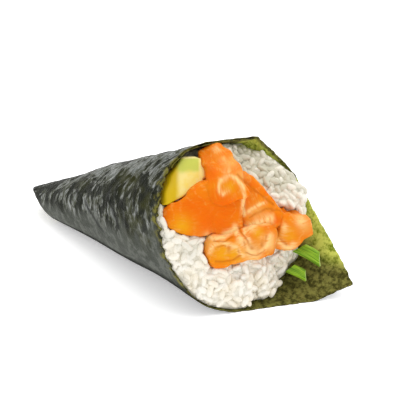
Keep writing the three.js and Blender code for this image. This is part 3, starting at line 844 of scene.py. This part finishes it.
def build_avocado():
    """Rings of one outline from the back to the cut face, with a slant on the -x side and a round edge."""
    sides = 72
    loop = np.array(AVOCADO_FACE + AVOCADO_FACE[:1], float)
    gone = lengths_along(loop)
    outline = resampled(np.arange(sides) / sides * gone[-1], gone, loop)[::-1]
    softened = (np.roll(outline, 1, 0) + outline + np.roll(outline, -1, 0)) / 3
    away = softened - AVOCADO_MIDDLE
    length = np.linalg.norm(away, axis=1, keepdims=True)
    left = smoothstep(-away[:, 0], 0, 6)
    wide = AVOCADO_SLANT
    # Each ring's depth behind the cut face, how far in it lies and its slant.
    back = [(AVOCADO_DEPTH, 2, wide), (AVOCADO_DEPTH - 2, 0, wide + 0.5), (7, 0, wide), (4, 0, wide - 0.5)]
    front = [(2, 0, 1.6), (0.9, 0.02, 0.6), (0.5, 0.15, 0.3), (0.15, 0.5, 0.1), (0, 1.0, 0)]
    face = [(-0.05, 2.5, 0), (-0.1, 4, 0), (-0.1, 5.5, 0)]
    rings, flesh = [], []
    for depth, inset, slant in back + front + face:
        kept = np.maximum(length - inset, length * 0.15)
        ring = AVOCADO_MIDDLE + away / length * kept
        offset = ring - AVOCADO_MIDDLE
        z = AVOCADO_FRONT - depth - AVOCADO_LEAN[0] * offset[:, 0] - AVOCADO_LEAN[1] * offset[:, 1]
        flesh.append(np.stack([ring[:, 0], ring[:, 1], np.full(sides, float(depth))], 1))
        rings.append(np.stack([ring[:, 0] - slant * left, ring[:, 1], z], 1))
    rings, flesh = np.array(rings), np.array(flesh)
    points = from_mouth(with_hubs(rings))
    faces = loft_faces(len(rings), sides)
    relief = 0.22 * noise_at(points, 4, 31)
    points = points + vertex_normals(points, faces) * relief[:, None]
    marks = {"flesh": with_hubs(flesh)}
    return make_piece("avocado_wedge", points, faces, avocado_material(), "avocado", marks)


ONIONS = {
    "spring_onion_long": dict(
        spine=[[25, -12.2, -9], [28.5, -14, -8.1], [32, -16.2, -7]],
        width=4.6, thickness=2.4, face_up=[0.4, 1, 0], slant=-1.5,
    ),
    "spring_onion_short": dict(
        spine=[[21.6, -19.4, -9], [24.3, -20.6, -8.3], [27, -22, -7.4]],
        width=3.8, thickness=2.2, face_up=[0.3, 1, 0], slant=-1,
    ),
}
ONION_WALL = 0.55


def build_onion(name, spine, width, thickness, face_up, slant, material):
    """A slanted cut of a hollow leaf, pressed nearly flat, with its outside and its inside."""
    stations, sides = 24, 32
    shares = np.linspace(0, 1, stations + 1)
    centre, tangent, length = along_curve(spine, shares)
    side, normal = across_curve(tangent, face_up)
    angles = 2 * np.pi * np.arange(sides) / sides
    x, y = np.cos(angles), np.sin(angles)
    pinch = 1 - 0.25 * np.exp(-(x**2) / 0.2)
    tilt = slant * x * (shares[:, None] - 0.5) * 2
    shells, flesh, inside = [], [], []
    for wall in (0, ONION_WALL):
        across = np.broadcast_to(x * (width / 2 - wall), (stations + 1, sides))
        deep = np.broadcast_to(y * pinch * (thickness / 2 - wall), (stations + 1, sides))
        shell = centre[:, None] + tangent[:, None] * tilt[..., None]
        shell = shell + side[:, None] * across[..., None] + normal[:, None] * deep[..., None]
        along = np.broadcast_to((shares * length)[:, None], across.shape)
        shells.append(shell if wall == 0 else shell[::-1])
        flesh.append(np.stack([along, across, deep], -1))
        inside.append(np.full(across.shape, float(wall > 0)))
    rings = np.concatenate(shells)
    points = from_mouth(rings.reshape(-1, 3))
    faces = loft_faces(len(rings), sides, looped=True)
    points[:, 2] += 0.12 * noise_at(points, 2.5, 41)
    marks = {"flesh": np.concatenate(flesh).reshape(-1, 3), "inside": np.concatenate(inside).ravel()}
    return make_piece(name + "_cut", points, faces, material, name, marks)


# ---- Rice ----

CORE_COLUMN = 3.0  # degrees
WALL_RINGS = 30  # from the tip to the heap's edge
HEAP_RINGS = 26  # from there to its middle
# The core is darker than the grains: painted shade in the gaps between them.
CORE_SHADED_TINT = 0.6  # how white the core is beside the grains
GRAIN_LENGTH = 4.7
GRAIN_WIDTH = 2.6
GRAIN_HEIGHT = 2.2
GRAIN_SIDES = 10
GRAIN_RINGS = 9
GRAIN_BEND = 0.25
GRAIN_LEAN = 0.28  # radians, a normal spread
GRAIN_SINK = 0.3
NORI_CLEAR = 0.42  # share of a grain's width between the line along its middle and the nori
TOPPING_CLEAR = 0.3  # and a topping
NUDGES = 5  # how many places a grain tries
NUDGE = 0.6  # how far each lies from the one before
NUDGED_TO = AXIS * 106
STEP_BLEND = 50  # degrees over which the rice fills the step at the sheet's inner end
TOPPINGS_REACH = 14  # how far behind the rice a topping may lie and still be kept clear
BEHIND_TOPPING = 1.2
LAYERS = [(-0.3, 1.9, 8000), (0.5, 2.6, 6000)]  # height above the heap, spacing and places tried


def wall_depth(turn):
    """The depth of the sheet's innermost face at a turn."""
    wrapped = (turn - INNER_END) % 360
    innermost = layer_depth(INNER_END - 360 + wrapped)
    end_depth = layer_depth(INNER_END)
    share = smoothstep(wrapped, 0, STEP_BLEND)
    return NORI_THICKNESS + RICE_TO_NORI + end_depth + (innermost - end_depth) * share


def rice_edge_reach(turn):
    """How far out the heap reaches on the sheet, lower round the avocado and ragged on the flap."""
    sheet_turn = np.where(turn > INNER_END - 360, turn, turn + 360)
    ragged = 1.3 * np.sin(turn / 5.5) + 0.8 * np.sin(turn / 2.3 + 1)
    ragged = ragged * smoothstep(turn, -30, 0) * (1 - smoothstep(turn, 80, 100))
    full = np.minimum(rim_reach(sheet_turn) - RICE_BELOW_RIM, RICE_REACH) + ragged
    by_avocado = np.maximum(swelling(turn, *RICE_BEHIND_AVOCADO), swelling(turn, *RICE_ABOVE_AVOCADO))
    return full - swelling(turn, *RICE_RECESS) - by_avocado


def heap_point(turn, share):
    """Points on the heap's surface: share 0 is its middle and 1 its edge on the sheet."""
    turn, share = np.broadcast_arrays(turn, share)
    edge = cone_point(turn, rice_edge_reach(turn), wall_depth(turn))
    centre = AXIS * RICE_CENTRE
    bulge = RICE_BULGE * (1 + share * swelling(turn, *RICE_FAR_SIDE)) * (1 - share**5)
    return centre + (edge - centre) * share[..., None] + AXIS * bulge[..., None]


def heap_normal(turn, share):
    towards_edge = heap_point(turn, share + 0.02) - heap_point(turn, share - 0.02)
    round_heap = heap_point(turn + 3, share) - heap_point(turn - 3, share)
    normal = unit(np.cross(round_heap, towards_edge))
    return normal * np.sign(normal @ AXIS)[..., None]


def lumps(points):
    """How far the heap's own unevenness lifts its surface."""
    return 1.5 * noise_at(points, 8, 51) + 0.9 * noise_at(points, 3.5, 52)


def painted_lightness(points):
    """1 at the heap's near, low part, left unshaded, and 0.25 at its far, high part under painted shade. A
    little less by the near rim, where painted shade lies too."""
    along = (np.asarray(points) - MOUTH_CENTRE) @ MOUTH_AXES
    by_rim = np.exp(-(((along[..., 0] + 16) / 6) ** 2) - ((along[..., 1] + 11) / 6) ** 2)
    return 1 - 0.75 * smoothstep(along[..., 1] - 0.2 * along[..., 0], -3, 10) - 0.25 * by_rim


def over_topping(toppings, point):
    """How far behind a point, seen from the front, the first topping lies. None if none does."""
    hits = [tree.ray_cast(point, -Vector(MOUTH_AXES[:, 2]), TOPPINGS_REACH)[3] for tree in toppings]
    return min((distance for distance in hits if distance is not None), default=None)


def build_rice_core(material, toppings):
    """The heap's body, up the sheet's inner face and over the heap to its middle, behind the toppings."""
    turns = np.arange(0, 360, CORE_COLUMN) - 180 + 0.01
    rings = []
    for share in np.linspace(0, 1, WALL_RINGS):
        edge = rice_edge_reach(turns) + CORE_LIFT
        rings.append(cone_point(turns, RICE_START + (edge - RICE_START) * share, wall_depth(turns)))
    for share in np.linspace(0.97, 0.03, HEAP_RINGS):
        place = heap_point(turns, share)
        lift = CORE_LIFT * smoothstep(1 - share, 0, 0.06) + lumps(place) * smoothstep(1 - share, 0, 0.1)
        rings.append(place + heap_normal(turns, share) * lift[:, None])
    points = with_hubs(np.array(rings))
    for point in points[WALL_RINGS * len(turns) :]:
        behind = over_topping(toppings, point)
        if behind is not None:
            point -= MOUTH_AXES[:, 2] * (behind + BEHIND_TOPPING)
    tint_and_shade = {"tint_and_shade": CORE_SHADED_TINT * painted_lightness(points)}
    make_piece("rice_core", points, loft_faces(*np.shape(rings)[:2]), material, "rice", tint_and_shade)


def grain_shape():
    """A plump grain along Y, slightly bent, and its faces."""
    t = -np.cos(np.pi * np.arange(1, GRAIN_RINGS) / GRAIN_RINGS)
    angles = 2 * np.pi * np.arange(GRAIN_SIDES) / GRAIN_SIDES
    radius = (1 - np.abs(t) ** 2.6) ** 0.5
    x = radius[:, None] * np.cos(angles) * GRAIN_WIDTH / 2
    z = radius[:, None] * np.sin(angles) * GRAIN_HEIGHT / 2
    y = np.broadcast_to(t[:, None] * GRAIN_LENGTH / 2, x.shape)
    bend = GRAIN_BEND * (t**2)[:, None]
    rings = np.stack([x + bend, y, z], -1)
    ends = np.array([[GRAIN_BEND, -GRAIN_LENGTH / 2, 0], [GRAIN_BEND, GRAIN_LENGTH / 2, 0]])
    return np.concatenate([rings.reshape(-1, 3), ends]), loft_faces(len(rings), GRAIN_SIDES)


def inside_or_near(tree, point, margin):
    """True if a point lies in a closed mesh or within the margin of it."""
    up = Vector((0, 0, 1))
    _, normal, _, distance = tree.ray_cast(point, up)
    leaves = distance is not None and normal.dot(up) > 0
    return leaves or tree.find_nearest(point)[3] < margin


def settle(middle, along, toppings, nori):
    """The grain's middle, moved into the heap until the grain is clear of the nori and the toppings and
    hides none of them. None if it never is."""
    inwards = unit(NUDGED_TO - middle)
    for _ in range(NUDGES):
        probes = [middle + along * step for step in (-1, -0.5, 0, 0.5, 1)]
        free = all(nori.find_nearest(probe)[3] > GRAIN_WIDTH * NORI_CLEAR for probe in probes) and not any(
            inside_or_near(tree, probe, GRAIN_WIDTH * TOPPING_CLEAR) for tree in toppings for probe in probes
        )
        if free and all(over_topping(toppings, probe) is None for probe in probes[::2]):
            return middle
        middle = middle + inwards * NUDGE
    return None


def build_grains(material, toppings, nori):
    """Grains in layers over the heap, none nearer another than the layer's spacing."""
    draw = random.Random(11)
    base, base_faces = grain_shape()
    reach = GRAIN_LENGTH / 2 - GRAIN_WIDTH / 2
    golden = 180 * (3 - math.sqrt(5))
    points, faces, tints = [], [], []
    for height, spacing, tries in LAYERS:
        index = np.arange(tries)
        share = np.sqrt((index + 0.5) / tries)
        turn = (index * golden) % 360 - 180
        places = heap_point(turn, share)
        normals = heap_normal(turn, share)
        lifted = places + normals * (height + lumps(places) - GRAIN_SINK)[:, None]
        kept = []
        for place, normal in zip(lifted, normals):
            if kept and np.min(np.linalg.norm(np.array(kept) - place, axis=1)) < spacing:
                continue
            spin = draw.uniform(0, 2 * math.pi)
            lean = draw.gauss(0, GRAIN_LEAN)
            roll = draw.uniform(0, 2 * math.pi)
            size = (draw.uniform(0.85, 1.1), draw.uniform(0.82, 1.12), draw.uniform(0.85, 1.1))
            lift = draw.uniform(-0.5, 0.6)
            tint_and_shade = draw.random()
            turned = Vector((0, 0, 1)).rotation_difference(Vector(normal)).to_matrix()
            turned = turned @ Matrix.Rotation(spin, 3, "Z") @ Matrix.Rotation(lean, 3, "X")
            turned = np.array(turned @ Matrix.Rotation(roll, 3, "Y"))
            middle = settle(place + normal * lift, turned[:, 1] * reach, toppings, nori)
            if middle is None:
                continue
            kept.append(place)
            first = len(points) * len(base)
            points.append(base * size @ turned.T + middle)
            faces += [tuple(corner + first for corner in face) for face in base_faces]
            # Each grain's random tone sets how much painted shade it takes.
            tints.append(np.full(len(base), painted_lightness(middle) ** (0.3 + 2 * tint_and_shade)))
    tint_and_shade = {"tint_and_shade": np.concatenate(tints)}
    make_piece("rice_grains", np.concatenate(points), faces, material, "rice", tint_and_shade)


# ---- The scene ----

# The floor and the light are in metres.
FLOOR_HALF = 3.0
LIGHT_PLACE = Vector((-0.1, 0.3, 1.0))
LIGHT_SIZE = 1.2
LIGHT_POWER = 6


def build_floor():
    corners = [(x * FLOOR_HALF, y * FLOOR_HALF, 0) for x, y in ((-1, -1), (1, -1), (1, 1), (-1, 1))]
    mesh = bpy.data.meshes.new("floor")
    mesh.from_pydata(corners, [], [(0, 1, 2, 3)])
    material, tree, shader = new_material("floor")
    set_inputs(tree, shader, Base_Color=(0.94, 0.94, 0.94), Roughness=0.9)
    set_inputs(tree, shader, Emission_Color=(1, 1, 1), Emission_Strength=0.36)
    mesh.materials.append(material)
    floor = new_object("floor", mesh)


def build_light():
    """A soft light overhead and a white surround."""
    light = bpy.data.lights.new("overhead", "AREA")
    light.shape = "DISK"
    light.size = LIGHT_SIZE
    light.energy = LIGHT_POWER
    lamp = new_object("overhead", light)
    lamp.location = LIGHT_PLACE
    lamp.rotation_euler = (-LIGHT_PLACE).to_track_quat("-Z", "Y").to_euler()
    world = bpy.data.worlds.new("world")
    world.use_nodes = True
    tree = world.node_tree
    set_inputs(tree, tree.nodes["Background"], Color=(1, 1, 1), Strength=1.0)
    bpy.context.scene.world = world


CAMERA_BACK = Vector((0.5814, -0.6688, 0.4633))  # from the target towards the camera
CAMERA_DISTANCE = 600
CAMERA_TARGET = Vector((85, 0, 25))
FOCAL_PIXELS = 1657.8
IMAGE_SIDE = 400
TARGET_PIXEL = (169.1, 201.6)  # where the target lies in the picture
SENSOR = 36


def build_camera():
    right = Vector((0, 0, 1)).cross(CAMERA_BACK).normalized()
    up = CAMERA_BACK.cross(right)
    aside = (IMAGE_SIDE / 2 - TARGET_PIXEL[0]) / FOCAL_PIXELS
    above = (TARGET_PIXEL[1] - IMAGE_SIDE / 2) / FOCAL_PIXELS
    aim = -CAMERA_BACK + right * aside + up * above
    data = bpy.data.cameras.new("camera")
    data.sensor_width = SENSOR
    data.lens = FOCAL_PIXELS / IMAGE_SIDE * SENSOR
    data.clip_start = 0.01
    camera = new_object("camera", data)
    camera.location = (CAMERA_TARGET - Vector((REST_REACH, 0, 0)) + CAMERA_BACK * CAMERA_DISTANCE) * MM
    camera.rotation_euler = aim.to_track_quat("-Z", "Y").to_euler()
    bpy.context.scene.camera = camera


build_camera()
build_floor()
build_light()
nori_tree = build_nori()
salmon = salmon_material()
topping_trees = [build_slice(name, size, salmon) for name, size in SALMON.items()]
topping_trees.append(build_avocado())
onion = onion_material()
topping_trees += [build_onion(name, **size, material=onion) for name, size in ONIONS.items()]
rice = rice_material()
build_rice_core(rice, topping_trees)
build_grains(rice, topping_trees, nori_tree)
bpy.context.scene.view_settings.view_transform = "Standard"
